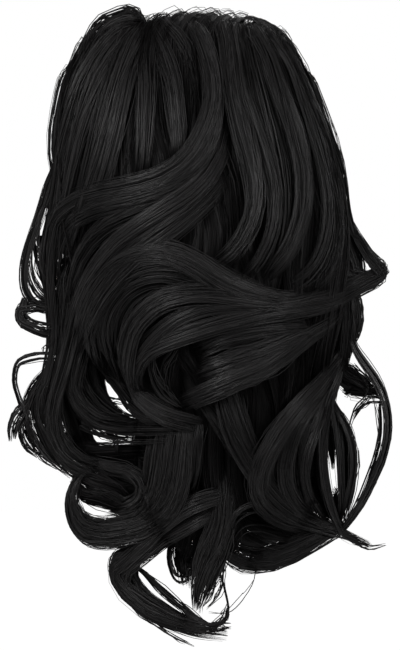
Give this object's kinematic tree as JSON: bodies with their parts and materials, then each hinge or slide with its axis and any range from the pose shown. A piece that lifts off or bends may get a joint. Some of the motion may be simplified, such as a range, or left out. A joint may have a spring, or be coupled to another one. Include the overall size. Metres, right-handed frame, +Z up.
{
  "type": "ponytail hairpiece",
  "caption": "Short, full fall of black wavy false hair sewn to a shallow oval cap with a comb, worn as a ponytail.",
  "frame": {"origin": "middle of the oval mouth of the cap, in the plane where it sits on the back of the head", "axes": "+Z up along the hanging hair's length, -Y out of the hair's outer face, +Y towards the wearer's head, +X to the right of someone who looks at the outer face"},
  "size_m": [0.1952, 0.1069, 0.3237],
  "materials": {
    "hair": "satin",
    "cap_net": "matte",
    "comb_plastic": "satin"
  },
  "bodies": {
    "root": {"base_cap": "cap_net", "hair_comb": "comb_plastic", "under_hair": "hair", "left_curls": "hair", "right_curls": "hair", "tip_curls": "hair", "waist_curls": "hair", "crown_hair": "hair"}
  },
  "joints": []
}
